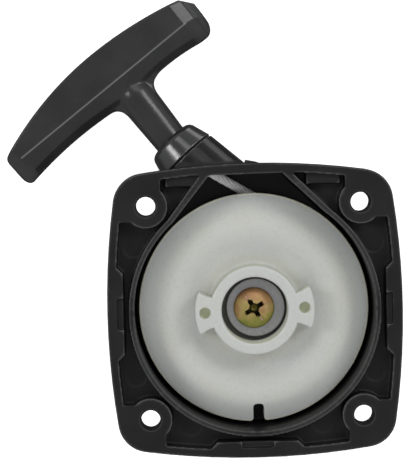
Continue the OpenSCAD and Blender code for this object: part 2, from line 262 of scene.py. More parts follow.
def mixed(nodes, links, factor, low, high):
    """Colour mix: low where factor is 0, high where it is 1. Each may be a colour or a socket."""
    mix = add(nodes, "ShaderNodeMix", data_type="RGBA")
    colour_a = [s for s in mix.inputs if s.name == "A" and s.type == "RGBA"][0]
    colour_b = [s for s in mix.inputs if s.name == "B" and s.type == "RGBA"][0]
    for socket, value in ((colour_a, low), (colour_b, high)):
        if isinstance(value, tuple):
            socket.default_value = (*value, 1)
        else:
            links.new(value, socket)
    links.new(factor, mix.inputs["Factor"])
    return [s for s in mix.outputs if s.type == "RGBA"][0]


# ---------------------------------------------------------------- materials
# The rope tower stands beyond the flange on the +Y side, and its skin is smoother
TOWER_Y = 44.6
TOWER_ROUGHNESS = 0.24
# The walls of the pockets are smoother too, below these levels
POCKET_DEEP, POCKET_FROM = -8, -7
# Numbers that axis_distance gives for each metre
AWAY_SCALE = 25
# Change of the yellow plating's tint for each metre along +Y
TINT_DRIFT = -60


def moulded_black(name, base, lifted, roughness, grain_scale, grain_depth, specular, wear_and_highlight_grey, case_polish=0.0):
    """Moulded black plastic: fine spark grain, faint colour drift, and paler edges that are partly worn and
    partly a painted highlight.

    case_polish is for the housing: how much smoother the pocket walls are. It smooths the tower as well.
    """
    mat, nodes, links, shader = new_material(name, base, roughness)
    coords = object_coords(nodes)
    drift = noise_of(nodes, links, coords, 60, 4)
    colour = ramp_of(nodes, links, drift, [(0.35, base), (0.75, lifted)])
    # Paler edges: partly worn, partly a painted highlight along them, from the edge attribute.
    worn_and_highlit = mixed(nodes, links, edge_wear_and_highlight(nodes, links), colour, grey(wear_and_highlight_grey))
    links.new(worn_and_highlit, shader.inputs["Base Color"])
    grain = noise_of(nodes, links, coords, grain_scale, 2)
    rough = ramp_of(nodes, links, drift, [(0.3, grey(roughness - 0.07)), (0.7, grey(roughness + 0.07))])
    if case_polish:
        deep = depth_mask(nodes, links, coords, POCKET_DEEP * MM, POCKET_FROM * MM)
        rough = mixed(nodes, links, deep, rough, grey(roughness - case_polish))
        outside = range_mask(nodes, links, coords, "Y", TOWER_Y * MM, (TOWER_Y + 0.5) * MM)
        rough = mixed(nodes, links, outside, rough, grey(TOWER_ROUGHNESS))
    links.new(rough, shader.inputs["Roughness"])
    set_bump(nodes, links, shader, grain, 0.5, grain_depth)
    shader.inputs["Specular IOR Level"].default_value = specular
    return mat


def range_mask(nodes, links, coords, axis, start, end):
    """0 on one side of start, 1 beyond end, along an axis, in metres."""
    split = add(nodes, "ShaderNodeSeparateXYZ")
    links.new(coords, split.inputs["Vector"])
    level = add(nodes, "ShaderNodeMapRange")
    links.new(split.outputs[axis], level.inputs["Value"])
    level.inputs["From Min"].default_value = start
    level.inputs["From Max"].default_value = end
    return level.outputs["Result"]


def depth_mask(nodes, links, coords, low, high):
    """1 below the height low, 0 above the height high, in metres."""
    return range_mask(nodes, links, coords, "Z", high, low)


def axis_distance(nodes, links, coords):
    """Distance of a point from the pulley's axis, in metres times AWAY_SCALE."""
    flat = add(nodes, "ShaderNodeVectorMath", operation="MULTIPLY")
    links.new(coords, flat.inputs[0])
    flat.inputs[1].default_value = (AWAY_SCALE, AWAY_SCALE, 0)
    length = add(nodes, "ShaderNodeVectorMath", operation="LENGTH")
    links.new(flat.outputs["Vector"], length.inputs[0])
    return length.outputs["Value"]


def natural_nylon():
    """Translucent off-white nylon. Its tone changes with the distance from the axis, darker near 20 mm and
    just inside the rim, with a painted highlight line on the rim's edge and painted shade deep in the hub's
    bore.
    """
    mat, nodes, links, shader = new_material("natural_nylon", (0.45, 0.46, 0.42), 0.42)
    coords = object_coords(nodes)
    away = axis_distance(nodes, links, coords)
    # Tone by distance from the axis; the last stop paints a pale highlight line on the rim's edge.
    tone = ramp_of(nodes, links, away, [
        (0.335, (0.60, 0.61, 0.57)), (0.375, (0.56, 0.57, 0.52)), (0.45, (0.54, 0.55, 0.53)),
        (0.50, (0.53, 0.54, 0.52)), (0.63, (0.60, 0.61, 0.58)), (0.70, (0.60, 0.61, 0.57)),
        (0.80, (0.55, 0.565, 0.55)), (0.855, (0.50, 0.52, 0.515)), (0.864, (0.88, 0.87, 0.72))])
    flat = depth_mask(nodes, links, coords, (HUB_TOP - 5.0) * MM, (HUB_TOP - 3.0) * MM)
    colour = mixed(nodes, links, flat, (0.58, 0.60, 0.44), tone)
    top = depth_mask(nodes, links, coords, (HUB_TOP - 1.6) * MM, (HUB_TOP - 0.6) * MM)
    colour = mixed(nodes, links, top, (0.55, 0.56, 0.545), colour)
    cloud = noise_of(nodes, links, coords, 70, 4)
    blotch = ramp_of(nodes, links, cloud, [(0.35, grey(0.0)), (0.75, grey(0.25))])
    colour = mixed(nodes, links, blotch, colour, (0.58, 0.59, 0.50))
    # Painted shade: deep in the hub's bore, from about the washer's top down and inside 10.1 mm, the nylon is
    # painted near-black.
    sunk = depth_mask(nodes, links, coords, (WASHER_HIGH.z - 0.1) * MM, (WASHER_HIGH.z + 2.0) * MM)
    inner = ramp_of(nodes, links, away, [(0.252, grey(1)), (0.262, grey(0))])
    shaded = add(nodes, "ShaderNodeMath", operation="MULTIPLY")
    links.new(sunk, shaded.inputs[0])
    links.new(inner, shaded.inputs[1])
    colour = mixed(nodes, links, shaded.outputs["Value"], colour, (0.13, 0.135, 0.12))
    speckle = noise_of(nodes, links, coords, 900, 2, 0.7)
    fleck = ramp_of(nodes, links, speckle, [(0.3, grey(0.12)), (0.5, grey(0))])
    links.new(mixed(nodes, links, fleck, colour, (0.25, 0.25, 0.23)), shader.inputs["Base Color"])
    shader.inputs["Subsurface Weight"].default_value = 0.25
    shader.inputs["Subsurface Scale"].default_value = 0.003
    shader.inputs["Subsurface Radius"].default_value = (1.0, 0.95, 0.75)
    shader.inputs["Specular IOR Level"].default_value = 0.35
    set_bump(nodes, links, shader, noise_of(nodes, links, coords, 2600, 2), 0.25, 0.00003)
    return mat


def plated_steel(name, base, lifted, roughness):
    """Dull plated steel with faint mottling."""
    mat, nodes, links, shader = new_material(name, base, roughness, 1.0)
    coords = object_coords(nodes)
    mottle = noise_of(nodes, links, coords, 900, 5)
    links.new(ramp_of(nodes, links, mottle, [(0.3, base), (0.7, lifted)]), shader.inputs["Base Color"])
    rough = ramp_of(nodes, links, mottle, [(0.3, grey(roughness - 0.1)), (0.7, grey(roughness + 0.1))])
    links.new(rough, shader.inputs["Roughness"])
    set_bump(nodes, links, shader, noise_of(nodes, links, coords, 3000, 2), 0.2, 0.00002)
    return mat


def yellow_zinc():
    """Yellow chromate on zinc: gold, orange-brown towards +Y and olive towards -Y, with rose patches."""
    mat, nodes, links, shader = new_material("yellow_zinc", (0.50, 0.34, 0.15), 0.28, 1.0)
    coords = object_coords(nodes)
    split = add(nodes, "ShaderNodeSeparateXYZ")
    links.new(coords, split.inputs["Vector"])
    patch = noise_of(nodes, links, coords, 240, 3)
    across = add(nodes, "ShaderNodeMath", operation="MULTIPLY_ADD")
    links.new(split.outputs["Y"], across.inputs[0])
    across.inputs[1].default_value = TINT_DRIFT
    links.new(patch, across.inputs[2])
    tint = ramp_of(nodes, links, across.outputs["Value"], [
        (0.18, (0.56, 0.30, 0.16)), (0.38, (0.66, 0.40, 0.20)), (0.52, (0.74, 0.54, 0.23)),
        (0.66, (0.56, 0.49, 0.15)), (0.82, (0.41, 0.43, 0.12))])
    # Painted shade and highlight: inside the recess the head is painted near-black with an olive centre, and
    # the slot floor beyond it bright pink as a painted highlight.
    recess_top = (SCREW_HIGH.z - 0.75) * MM
    deep = depth_mask(nodes, links, coords, recess_top - 0.0002, recess_top)
    away = axis_distance(nodes, links, coords)
    inside = ramp_of(nodes, links, away, [
        (0.018, (0.16, 0.14, 0.03)), (0.030, (0.02, 0.018, 0.01)), (0.076, (0.02, 0.018, 0.01)),
        (0.080, (0.92, 0.62, 0.48))])
    middle = ramp_of(nodes, links, away, [(0.112, grey(1)), (0.116, grey(0))])
    sunk = add(nodes, "ShaderNodeMath", operation="MULTIPLY")
    links.new(deep, sunk.inputs[0])
    links.new(middle, sunk.inputs[1])
    deep = sunk.outputs["Value"]
    links.new(mixed(nodes, links, deep, tint, inside), shader.inputs["Base Color"])
    speck = noise_of(nodes, links, coords, 2500, 4)
    rough = ramp_of(nodes, links, speck, [(0.3, grey(0.34)), (0.75, grey(0.52))])
    links.new(rough, shader.inputs["Roughness"])
    set_bump(nodes, links, shader, speck, 0.3, 0.00003)
    return mat


def twisted_cord():
    """Nylon cord: pale grey filaments, with painted shade in the hollows between the strands."""
    mat, nodes, links, shader = new_material("twisted_cord", (0.7, 0.7, 0.7), 0.45)
    coords = object_coords(nodes)
    fibre = noise_of(nodes, links, coords, 2200, 3)
    tone = ramp_of(nodes, links, fibre, [(0.3, (0.74, 0.74, 0.75)), (0.7, (0.95, 0.95, 0.95))])
    geometry = add(nodes, "ShaderNodeNewGeometry")
    # Painted shade: where Pointiness is low, in the hollows, the cord is painted near-black.
    hollow = ramp_of(nodes, links, geometry.outputs["Pointiness"], [(0.44, grey(1)), (0.51, grey(0))])
    links.new(mixed(nodes, links, hollow, tone, (0.12, 0.12, 0.12)), shader.inputs["Base Color"])
    shader.inputs["Sheen Weight"].default_value = 0.15
    set_bump(nodes, links, shader, fibre, 0.4, 0.00006)
    return mat


MATERIALS = {}


def make_materials():
    """The materials of all pieces, by slot."""
    MATERIALS.update({
        "black_nylon": moulded_black(
            "black_nylon", grey(0.009), grey(0.015), 0.5, 1500, 0.00005, 0.25, 0.085, case_polish=0.2),
        "guide_plastic": moulded_black(
            "guide_plastic", grey(0.012), grey(0.026), 0.22, 500, 0.00005, 0.9, 0.06),
        "handle_plastic": moulded_black(
            "handle_plastic", grey(0.022), grey(0.033), 0.3, 1900, 0.00006, 0.45, 0.16),
        "natural_nylon": natural_nylon(),
        "zinc_steel": plated_steel("zinc_steel", (0.46, 0.46, 0.48), (0.58, 0.58, 0.61), 0.45),
        "spring_steel": plated_steel("spring_steel", (0.1, 0.11, 0.15), (0.2, 0.2, 0.22), 0.3),
        "yellow_zinc": yellow_zinc(),
        "brass_insert": plated_steel("brass_insert", (0.6, 0.42, 0.18), (0.72, 0.55, 0.28), 0.35),
        "rope": twisted_cord(),
    })


# ---------------------------------------------------------------- mesh helpers
# Rounds of averaging with the neighbours before an edge is marked
EDGE_PASSES = 4
# Steps in a rounded corner, the share of a side it may take, and the size in mm below which it stays sharp
ROUND_STEPS, ROUND_SHARE, ROUND_LEAST = 4, 0.45, 0.01


def new_piece(name, verts, faces, slot, body, *replaced, smooth=40):
    """Piece made from vertices in metres and faces."""
    mesh = bpy.data.meshes.new(name)
    mesh.from_pydata([tuple(v) for v in verts], [], [tuple(f) for f in faces])
    return finish_piece(name, mesh, slot, body, *replaced, smooth=smooth)


def finish_piece(name, mesh, slot, body, *replaced, smooth=40):
    """Puts a mesh in the scene with its material, body and the nodes it stands for."""
    mesh.validate()
    piece = bpy.data.objects.new(name, mesh)
    bpy.context.scene.collection.objects.link(piece)
    mesh.materials.clear()
    mesh.materials.append(MATERIALS[slot])
    mesh.shade_smooth()
    mesh.set_sharp_from_angle(angle=math.radians(smooth))
    if body:
        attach(piece, body)
    if replaced:
        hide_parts(*replaced)
    return piece


def lathe(profile, segments=180):
    """Closed profile of (radius, height) in mm, turned about Z. Returns verts in metres and faces."""
    verts, faces = [], []
    count = len(profile)
    for s in range(segments):
        a = 2 * math.pi * s / segments
        verts += [(r * math.cos(a) * MM, r * math.sin(a) * MM, z * MM) for r, z in profile]
    for s in range(segments):
        for i in range(count):
            j, t = (i + 1) % count, (s + 1) % segments
            faces.append((s * count + i, t * count + i, t * count + j, s * count + j))
    return verts, faces


def rounded(profile, radius):
    """Rounds the corners of a closed profile. A point is (r, z), or (r, z, radius) for its own rounding."""
    out = []
    count = len(profile)
    for i, point in enumerate(profile):
        here = Vector(point[:2])
        size = point[2] if len(point) > 2 else radius
        before = Vector(profile[i - 1][:2]) - here
        after = Vector(profile[(i + 1) % count][:2]) - here
        size = min(size, before.length * ROUND_SHARE, after.length * ROUND_SHARE)
        if size < ROUND_LEAST:
            out.append(tuple(here))
            continue
        start, end = here + before.normalized() * size, here + after.normalized() * size
        for k in range(ROUND_STEPS + 1):
            t = k / ROUND_STEPS
            out.append(tuple(start * (1 - t) ** 2 + here * 2 * t * (1 - t) + end * t * t))
    return out


def clean(mesh, merge=1e-6):
    """Joins points closer than merge, in metres, and turns every face outwards."""
    work = bmesh.new()
    work.from_mesh(mesh)
    bmesh.ops.remove_doubles(work, verts=work.verts, dist=merge)
    bmesh.ops.recalc_face_normals(work, faces=work.faces)
    work.to_mesh(mesh)
    work.free()


def loose_object(name, verts, faces):
    """Object for modelling with, which is no piece yet."""
    mesh = bpy.data.meshes.new(name)
    mesh.from_pydata([tuple(v) for v in verts], [], [tuple(f) for f in faces])
    clean(mesh)
    made = bpy.data.objects.new(name, mesh)
    bpy.context.scene.collection.objects.link(made)
    return made


def baked(source):
    """The object's mesh with its modifiers applied. The object goes."""
    graph = bpy.context.evaluated_depsgraph_get()
    mesh = bpy.data.meshes.new_from_object(source.evaluated_get(graph))
    bpy.data.objects.remove(source)
    return mesh


def boolean(base, cutters, operation):
    """Joins the cutters to base, or cuts them out of it, one after the other. The cutters go."""
    for cutter in cutters:
        cut = base.modifiers.new("cut", "BOOLEAN")
        cut.operation = operation
        cut.solver = "EXACT"
        cut.object = cutter
        mesh = bpy.data.meshes.new_from_object(
            base.evaluated_get(bpy.context.evaluated_depsgraph_get()))
        base.modifiers.clear()
        base.data = mesh
        bpy.data.objects.remove(cutter)


def prism(outline, low, high, bevel=0.0):
    """Outline of (x, y) in mm, raised from low to high, as a loose object with bevelled edges."""
    count = len(outline)
    verts = [(x * MM, y * MM, z * MM) for z in (low, high) for x, y in outline]
    faces = [tuple(range(count - 1, -1, -1)), tuple(range(count, 2 * count))]
    faces += [(i, (i + 1) % count, count + (i + 1) % count, count + i) for i in range(count)]
    made = loose_object("prism", verts, faces)
    if bevel:
        edge = made.modifiers.new("edge", "BEVEL")
        edge.width = bevel * MM
        edge.segments = 3
        edge.limit_method = "ANGLE"
        edge.angle_limit = math.radians(50)
        mesh = baked(made)
        made = bpy.data.objects.new("prism", mesh)
        bpy.context.scene.collection.objects.link(made)
    return made


def along(place, heading):
    """Matrix that puts local Z out along heading, in degrees from +X, from place in mm."""
    turn = Matrix.Rotation(math.radians(heading), 4, "Z") @ Matrix.Rotation(math.radians(90), 4, "Y")
    return Matrix.Translation(Vector(place) * MM) @ turn


def soft_remesh(source, voxel, passes, keep):
    """Remeshes at voxel mm and relaxes the surface, so that every moulded edge gets a small radius.

    keep is the share of its triangles that stays.
    """
    remesh = source.modifiers.new("remesh", "REMESH")
    remesh.mode = "VOXEL"
    remesh.voxel_size = voxel * MM
    relax = source.modifiers.new("relax", "SMOOTH")
    relax.factor = 0.5
    relax.iterations = passes
    thin = source.modifiers.new("thin", "DECIMATE")
    thin.ratio = keep
    thin.use_collapse_triangulate = True
    return baked(source)


def point_rows(mesh, name):
    """The co or the normal of every point, one row each."""
    rows = np.empty(len(mesh.vertices) * 3)
    mesh.vertices.foreach_get(name, rows)
    return rows.reshape(-1, 3)


def edge_ends(mesh):
    """The two ends of every edge, and the number of edges at each point."""
    ends = np.empty(len(mesh.edges) * 2, dtype=np.int32)
    mesh.edges.foreach_get("vertices", ends)
    a, b = ends.reshape(-1, 2).T
    count = len(mesh.vertices)
    return a, b, np.maximum(np.bincount(a, minlength=count) + np.bincount(b, minlength=count), 1)


def neighbour_mean(values, a, b, near):
    """Mean of the neighbours' values at each point."""
    count = len(values)
    return (np.bincount(a, values[b], count) + np.bincount(b, values[a], count)) / near


def store_edge(mesh, share):
    """Keeps how pale each point is, from 0 to 1, for worn edges and a painted highlight together, as the edge
    attribute that the materials read.
    """
    mesh.attributes.new("edge", "FLOAT", "POINT").data.foreach_set("value", share.astype(np.float32))


def mark_edges(mesh, radius):
    """Marks convex edges as worn and painted with a highlight. An edge rounded more tightly than radius, in
    mm, counts in full.
    """
    co, normal = point_rows(mesh, "co"), point_rows(mesh, "normal")
    a, b, near = edge_ends(mesh)
    count = len(co)
    span = co[b] - co[a]
    long2 = np.maximum((span ** 2).sum(1), 1e-12)
    bulge = -(np.bincount(a, (span * normal[a]).sum(1) / long2, count)
              - np.bincount(b, (span * normal[b]).sum(1) / long2, count)) / near * 2
    for _ in range(EDGE_PASSES):
        bulge = 0.5 * bulge + 0.5 * neighbour_mean(bulge, a, b, near)
    store_edge(mesh, np.clip(bulge * radius * MM, 0, 1))


def cad_copy(node):
    """A loose copy of a CAD node's mesh, its seams joined."""
    mesh = frame["nodes"][node].data.copy()
    clean(mesh)
    made = bpy.data.objects.new(node + "_copy", mesh)
    bpy.context.scene.collection.objects.link(made)
    return made


# ---------------------------------------------------------------- rope
ROPE_R = 1.5
STRANDS = 8
STRAND_R = 0.44
# Length of rope in which a strand goes round once
LAY = 17.0
# How far the core reaches under the strands
CORE_OVERLAP = 0.2


def frames_along(path):
    """Level side vectors and up vectors of a path that stays near one level."""
    tangent = np.gradient(path, axis=0)
    tangent /= np.linalg.norm(tangent, axis=1)[:, None]
    side = np.cross([0, 0, 1.0], tangent)
    side /= np.linalg.norm(side, axis=1)[:, None]
    return side, np.cross(tangent, side)


def run_along(path):
    """Length of the path up to each of its points."""
    return np.concatenate([[0], np.cumsum(np.linalg.norm(np.diff(path, axis=0), axis=1))])


def stranded(path, sides, step):
    """Strands and a core laid round a path in mm: vertices in mm and faces."""
    path = resample(path, step)
    side, up = frames_along(path)
    run = run_along(path)
    verts, faces = [], []

    def tube(centre, radius):
        base = sum(len(v) for v in verts)
        rings = len(centre)
        angle = 2 * np.pi * np.arange(sides) / sides
        ring = (centre[:, None, :] + radius * (np.cos(angle)[None, :, None] * side[:, None, :]
                                               + np.sin(angle)[None, :, None] * up[:, None, :]))
        verts.append(ring.reshape(-1, 3))
        for i in range(rings - 1):
            for k in range(sides):
                a, b = base + i * sides + k, base + i * sides + (k + 1) % sides
                faces.append((a, b, b + sides, a + sides))
        faces.append(tuple(base + k for k in range(sides - 1, -1, -1)))
        faces.append(tuple(base + (rings - 1) * sides + k for k in range(sides)))

    for strand in range(STRANDS):
        phase = 2 * np.pi * (run / LAY + strand / STRANDS)
        offset = (ROPE_R - STRAND_R) * (np.cos(phase)[:, None] * side + np.sin(phase)[:, None] * up)
        tube(path + offset, STRAND_R)
    tube(path, ROPE_R - 2 * STRAND_R + CORE_OVERLAP)
    return np.concatenate(verts), faces


def resample(path, step):
    """The path with a point every step mm, near enough."""
    path = np.asarray(path, float)
    length = run_along(path)
    count = max(4, int(round(length[-1] / step)) + 1)
    want = np.linspace(0, length[-1], count)
    return np.stack([np.interp(want, length, path[:, k]) for k in range(3)], axis=1)


def smooth_step(t):
    """From 0 to 1 with level ends, for t from 0 to 1."""
    return t * t * (3 - 2 * t)


def arc_points(centre, radius, start, end, count, z):
    """Points of a level arc, with its ends in degrees."""
    return [(centre[0] + radius * math.cos(a), centre[1] + radius * math.sin(a), z)
            for a in np.radians(np.linspace(start, end, count))]


PULL = Vector(JOINTS["handle_pull"]["axis"])
PULL_RANGE = JOINTS["handle_pull"]["range_m"][1] / MM
STEM_AT = Vector(JOINTS["handle_swivel"]["pos_m"]) / MM
HANDLE_A = math.degrees(math.atan2(PULL.y, PULL.x))
ROPE_Z = STEM_AT.z
# The rope leaves a circle of radius LAY_R in direction LAY_A, then bends by BEND_R into the pull's line
LAY_R, LAY_A, BEND_R = 29.0, 148.7, 18.0
# Length of free rope inside the stem's end
INTO_STEM = 4.0
# Halvings of the search for a point's place at rest
HALVINGS = 50


def bend_geometry():
    """Where the free rope starts on the pulley, bends in the guide, and points along the handle."""
    tangent = math.radians(LAY_A - 90)
    start = Vector((LAY_R * math.cos(tangent), LAY_R * math.sin(tangent)))
    out = Vector((math.cos(math.radians(LAY_A)), math.sin(math.radians(LAY_A))))
    pull = PULL.to_2d()
    gap = STEM_AT.to_2d() - start
    reach = gap.cross(pull) / out.cross(pull)
    corner = start + out * reach
    trim = BEND_R * math.tan(math.radians(LAY_A - HANDLE_A) / 2)
    first = corner - out * trim
    centre = first + Vector((math.sin(math.radians(LAY_A)), -math.cos(math.radians(LAY_A)))) * BEND_R
    return start, first, centre, corner + pull * trim


def make_rope_run():
    """The free rope, built at full pull and then gathered into the guide and stem for the rest pose."""
    start, first, centre, after = bend_geometry()
    path = [(*start, ROPE_Z), (*first, ROPE_Z)]
    path += arc_points(centre, BEND_R, LAY_A + 90, HANDLE_A + 90, 12, ROPE_Z)
    path.append(tuple(STEM_AT + PULL * (INTO_STEM + PULL_RANGE)))
    verts, faces = stranded(path, sides=8, step=0.75)
    # Blend share of a point is a smooth step between these two marks along the pull
    mark_a = Vector((*after, ROPE_Z))
    mark_b = STEM_AT + PULL * INTO_STEM
    span = (mark_b - mark_a).length
    ahead = (verts - np.array(mark_a)) @ np.array(PULL)
    low, high = np.zeros(len(verts)), np.full(len(verts), span)
    for _ in range(HALVINGS):
        middle = (low + high) / 2
        pulled = middle + smooth_step(middle / span) * PULL_RANGE
        low = np.where(pulled < ahead, middle, low)
        high = np.where(pulled < ahead, high, middle)
    beyond_guide = np.where(ahead >= span + PULL_RANGE, ahead - PULL_RANGE, (low + high) / 2)
    rest = np.where(ahead <= 0, ahead, beyond_guide)
    verts = verts + (rest - ahead)[:, None] * np.array(PULL)
    piece = new_piece("rope_run_strands", verts * MM, faces, "rope", None, "rope_run", smooth=60)
    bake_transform(piece)


def make_rope_coil():
    """Rope wound on the barrel: a spiral whose outer turn ends where the free rope leaves.

    The outer turn sinks by drop over its first part, settle. The turns sway to either side of the groove.
    """
    turns, inner, settle, drop, sway = 5.0, 21.7, 0.36, 1.6, 1.05
    count = int(turns * 90)
    points = []
    for i in range(count + 1):
        back = turns * i / count
        a = math.radians(LAY_A - 90 - 360 * back)
        r = LAY_R - drop * smooth_step(min(1, back / settle))
        r -= (LAY_R - drop - inner) * max(0, back - settle) / (turns - settle)
        lift = sway * math.sin(math.pi * back) * min(1, back * 1.5)
        points.append((r * math.cos(a), r * math.sin(a), ROPE_Z + lift))
    verts, faces = stranded(points[::-1], sides=6, step=0.9)
    new_piece("rope_coil_strands", verts * MM, faces, "rope", "pulley", "rope_coil", smooth=60)


def make_knot(name, node, place_matrix, size, body):
    """An overhand stopper knot: one closed trefoil of rope, with three strands that go round it six times."""
    t = np.linspace(0, 2 * np.pi, 97)[:-1]
    loop = np.stack([np.sin(t) + 2 * np.sin(2 * t), np.cos(t) - 2 * np.cos(2 * t), -np.sin(3 * t)], axis=1)
    loop *= size / 3
    verts, faces = [], []
    tangent = np.roll(loop, -1, 0) - np.roll(loop, 1, 0)
    tangent /= np.linalg.norm(tangent, axis=1)[:, None]
    side = np.cross(tangent, loop)
    side /= np.linalg.norm(side, axis=1)[:, None]
    up = np.cross(tangent, side)
    sides, thick = 12, size * 0.36
    angle = 2 * np.pi * np.arange(sides) / sides
    twist = 6 * t
    for i in range(len(t)):
        ridge = thick * (1 + 0.09 * np.cos(3 * angle + twist[i]))
        ring = loop[i] + (ridge * np.cos(angle))[:, None] * side[i] + (ridge * np.sin(angle))[:, None] * up[i]
        verts += [tuple(v * MM) for v in ring]
        here, there = i * sides, (i + 1) % len(t) * sides
        for k in range(sides):
            after = (k + 1) % sides
            faces.append((here + k, here + after, there + after, there + k))
    points = [place_matrix @ Vector(v) for v in verts]
    new_piece(name, points, faces, "rope", body, node, smooth=60)


def make_rope_end():
    """The rope inside the handle's stem, from where the free rope stops to the knot."""
    reach = (frame_far_point("rope_end") - STEM_AT).length
    path = [tuple(STEM_AT + PULL * INTO_STEM), tuple(STEM_AT + PULL * reach)]
    verts, faces = stranded(path, sides=8, step=0.6)
    new_piece("rope_end_strands", verts * MM, faces, "rope", "rope_tip", "rope_end", smooth=60)


def frame_far_point(node):
    """The point on the pull line level with the node's far end, in mm."""
    co = np.array([v.co for v in frame["nodes"][node].data.vertices]) / MM
    reach = ((co - np.array(STEM_AT)) @ np.array(PULL)).max()
    return STEM_AT + PULL * reach


# ---------------------------------------------------------------- pulley
HUB_R, HUB_BORE = 13.45, 10.0
SEAT_Z = WASHER_LOW.z - 0.2
POST_BORE = 6.05
BACK_HUB_R = 9.0
BARREL_R = 20.0
LUG_R = 18.0
LUG_TURN = 2.0
LUG_HALF_A = 17.5
NOTCH_TURN = 1.4
LUG_HOLE_AT, LUG_HOLE_R, LUG_HOLE_L = 15.0, 1.65, 2.4
GROOVE_HALF = 2.65
GROOVE_TOP, GROOVE_LOW = ROPE_Z + GROOVE_HALF, ROPE_Z - GROOVE_HALF
LOW_FLANGE = GROOVE_LOW - 1.6


def turned(points, degrees):
    """The points (x, y) turned about the origin."""
    c, s = math.cos(math.radians(degrees)), math.sin(math.radians(degrees))
    return [(x * c - y * s, x * s + y * c) for x, y in points]


def lug_outline(turn):
    """Waisted drive lug with a round outer end, as (x, y) points."""
    half = [(10.9, 4.4), (13.2, 4.65, 1.5), (14.4, 5.1, 1.2), (16.6, 6.35, 0.7)]
    points = [(x, -y, *size) for x, y, *size in half]
    points += [(LUG_R * math.cos(a), LUG_R * math.sin(a))
               for a in np.radians(np.linspace(-LUG_HALF_A, LUG_HALF_A, 13))]
    points += half[::-1]
    return turned(rounded(points, 0), turn)


def make_pulley():
    """Reel with its hub ring, two lugs with a blind hole each, and a notch in the rim."""
    body = [
        (POST_BORE, PULLEY_LOW.z), (BACK_HUB_R, PULLEY_LOW.z), (BACK_HUB_R, LOW_FLANGE, 0.8),
        (PULLEY_R - 0.8, LOW_FLANGE), (PULLEY_R - 0.4, LOW_FLANGE + 0.4), (PULLEY_R - 0.4, GROOVE_LOW - 0.4),
        (PULLEY_R - 2, GROOVE_LOW), (BARREL_R, GROOVE_LOW, 0.6), (BARREL_R, GROOVE_TOP + 0.8, 0.6),
        (PULLEY_R - 2, GROOVE_TOP), (PULLEY_R, GROOVE_TOP + 0.1, 0.2), (PULLEY_R, RIM_Z - 0.3, 0.25),
        (PULLEY_R - 0.5, RIM_Z, 0.2), (32.0, RIM_Z + 0.5, 1.4), (29.0, FACE_Z - 0.4, 1.5),
        (25.5, FACE_Z, 1.5), (22.0, FACE_Z - 0.3, 1.5), (19.0, FACE_Z - 0.8, 1.4),
        (16.0, FACE_Z - 0.6, 1.0), (14.2, FACE_Z - 0.5, 0.6), (HUB_R + 0.1, FACE_Z, 0.6),
        (HUB_R, HUB_TOP, 0.7), (HUB_BORE, HUB_TOP, 0.7), (HUB_BORE, SEAT_Z, 0.3), (POST_BORE, SEAT_Z, 0.2)]
    base = loose_object("pulley_base", *lathe(rounded(body, 0.15), 240))
    lugs = [prism(lug_outline(LUG_TURN + turn), FACE_Z - 1, HUB_TOP - 0.02, 0.4) for turn in (0, 180)]
    boolean(base, lugs, "UNION")
    cutters = []
    floor = HUB_TOP - LUG_HOLE_L
    mouth_r = LUG_HOLE_R + 0.3
    drill = [(0.001, floor), (LUG_HOLE_R, floor, 0.3), (LUG_HOLE_R, HUB_TOP - 0.3),
             (mouth_r, HUB_TOP + 0.1), (mouth_r, HUB_TOP + 2), (0.001, HUB_TOP + 2)]
    verts, faces = lathe(rounded(drill, 0.05), 40)
    for turn in (LUG_TURN, LUG_TURN + 180):
        x0 = LUG_HOLE_AT * math.cos(math.radians(turn)) * MM
        y0 = LUG_HOLE_AT * math.sin(math.radians(turn)) * MM
        cutters.append(loose_object("drill", [(x + x0, y + y0, z) for x, y, z in verts], faces))
    cutters.append(prism(notch_outline(), LOW_FLANGE - 1, HUB_TOP))
    boolean(base, cutters, "DIFFERENCE")
    mesh = baked(base)
    clean(mesh, 2e-6)
    finish_piece("pulley_nylon", mesh, "natural_nylon", "pulley", "pulley", smooth=32)


def notch_outline():
    """Rim notch pointing down -Y, with a rounded inner end and rounded mouth corners."""
    half, inner, mouth = 1.65, 5.6 - PULLEY_R, 1.2
    edge = 0.1 - PULLEY_R
    left = [(-half - mouth + mouth * math.cos(a), edge + mouth - mouth * math.sin(a))
            for a in np.radians(np.linspace(0, 80, 7))]
    top = rounded([(half, edge + mouth, 0), (half, inner, 1.3),
                   (-half, inner, 1.3), (-half, edge + mouth, 0)], 0)
    right = [(-x, y) for x, y in reversed(left)]
    points = top[1:-1] + left + [(-4.6, -PULLEY_R - 3), (4.6, -PULLEY_R - 3)] + right
    return turned(points, NOTCH_TURN)


# ---------------------------------------------------------------- small turned parts
# The washer's radius is this much under its solid's, and it lies against the solid's +X side
WASHER_PLAY = 0.2
WASHER_BORE = 3.4
SHANK_R = 2.9
SKIRT_H = 0.75
RECESS_L = 2.2
SLOT_L = 1.15


def make_washer():
    """Large washer with a rounded upper rim, off the axis as its solid is."""
    low, high = WASHER_LOW.z, WASHER_HIGH.z
    radius = (WASHER_HIGH.x - WASHER_LOW.x) / 2 - WASHER_PLAY
    off_centre = (WASHER_HIGH.x + WASHER_LOW.x) / 2 + WASHER_PLAY
    profile = rounded([(WASHER_BORE, low), (radius, low), (radius, high, 0.4), (WASHER_BORE, high)], 0.15)
    verts, faces = lathe(profile)
    verts = [(x + off_centre * MM, y, z) for x, y, z in verts]
    new_piece("washer_steel", verts, faces, "zinc_steel", "root", "pulley_washer")


